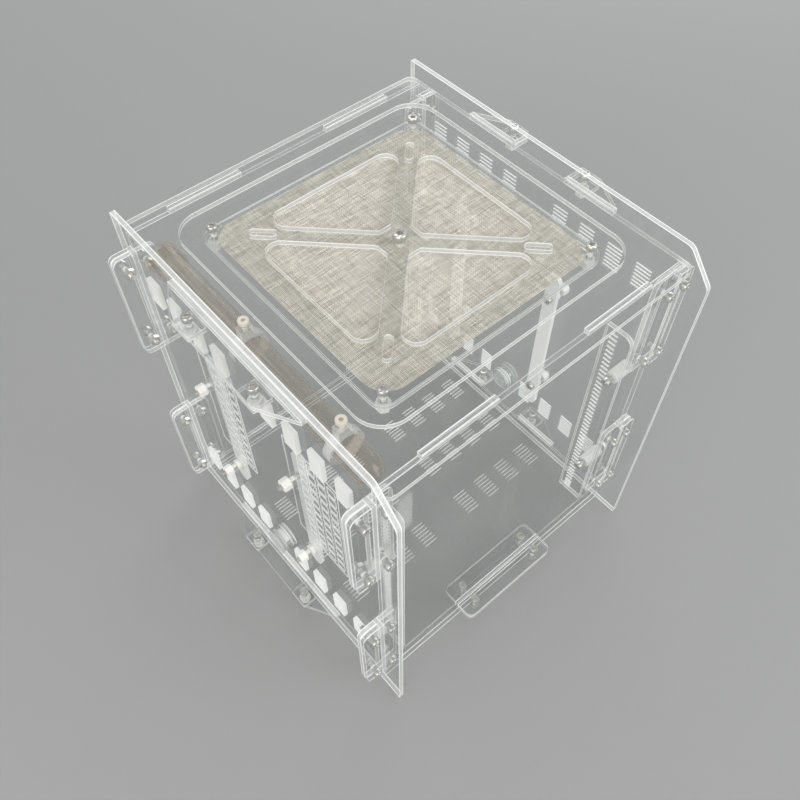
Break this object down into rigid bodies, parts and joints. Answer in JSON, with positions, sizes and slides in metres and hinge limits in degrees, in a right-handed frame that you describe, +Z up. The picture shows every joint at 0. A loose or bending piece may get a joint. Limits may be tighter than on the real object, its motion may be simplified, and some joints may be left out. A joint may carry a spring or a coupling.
{
  "type": "ant habitat",
  "caption": "Clear acrylic ant habitat with a lift-off mesh lid, vent slits, a feeder tube and side ports",
  "frame": {"origin": "bottom centre of the bounding box, on the table under the middle", "axes": "+X points right across the box, +Y points back and +Z up"},
  "size_m": [0.222, 0.218, 0.2435],
  "materials": {
    "clear_acrylic": "polished clear sheet with bright laser-cut edges",
    "milky_acrylic": "milky white sheet",
    "white_nylon": "cream white nylon",
    "screw_steel": "stainless steel",
    "mesh_steel": "fine woven stainless mesh",
    "tube_plastic": "clear tube with a warm tint",
    "port_plug": "cloudy clear silicone"
  },
  "bodies": {
    "housing": {"left_side_panel": "clear_acrylic", "right_side_panel": "clear_acrylic", "front_panel": "clear_acrylic", "rear_panel": "clear_acrylic", "top_plate": "clear_acrylic", "floor_plate": "clear_acrylic", "top_lock_plates": "clear_acrylic", "floor_lock_plates": "clear_acrylic", "front_lock_strips": "clear_acrylic", "rear_lock_strips": "clear_acrylic", "floor_lock_strip": "clear_acrylic", "left_slit_plate": "clear_acrylic", "right_slit_plate": "clear_acrylic", "front_lattice": "clear_acrylic", "rear_lattice": "clear_acrylic", "left_port_collar": "clear_acrylic", "right_port_collar": "clear_acrylic", "tube_hangers": "clear_acrylic", "top_lock_screws": "screw_steel", "floor_lock_screws": "screw_steel", "front_strip_screws": "screw_steel", "rear_strip_screws": "screw_steel", "floor_strip_screws": "screw_steel", "upright_screws": "screw_steel", "bar_screws": "screw_steel", "front_strip_nuts": "screw_steel", "rear_strip_nuts": "screw_steel", "floor_strip_nuts": "screw_steel", "upright_nuts": "screw_steel", "hanger_screws": "white_nylon", "floor_lock_nuts": "white_nylon", "top_lock_nuts": "white_nylon", "bar_nuts": "white_nylon", "bar_washers": "white_nylon", "upright_spacers": "white_nylon", "left_rear_bar": "milky_acrylic", "left_front_bar": "milky_acrylic", "right_rear_bar": "milky_acrylic", "right_front_bar": "milky_acrylic", "feeder_tube": "tube_plastic", "tube_cap": "tube_plastic"},
    "lid": {"lid_cover": "clear_acrylic", "lid_mesh": "mesh_steel", "lid_clamp_frame": "clear_acrylic", "lid_corner_screws": "screw_steel", "lid_corner_nuts": "white_nylon", "lid_centre_screw": "screw_steel", "lid_centre_nut": "screw_steel"},
    "left_plug": {"left_port_plug": "port_plug"},
    "right_plug": {"right_port_plug": "port_plug"}
  },
  "joints": [
    {"name": "lid_lift", "type": "slide", "parent": "housing", "child": "lid", "axis": [0, 0, 1], "range_m": [0, 0.06]},
    {"name": "left_plug_pull", "type": "slide", "parent": "housing", "child": "left_plug", "axis": [-1, 0, 0], "range_m": [0, 0.016]},
    {"name": "right_plug_pull", "type": "slide", "parent": "housing", "child": "right_plug", "axis": [1, 0, 0], "range_m": [0, 0.016]}
  ]
}
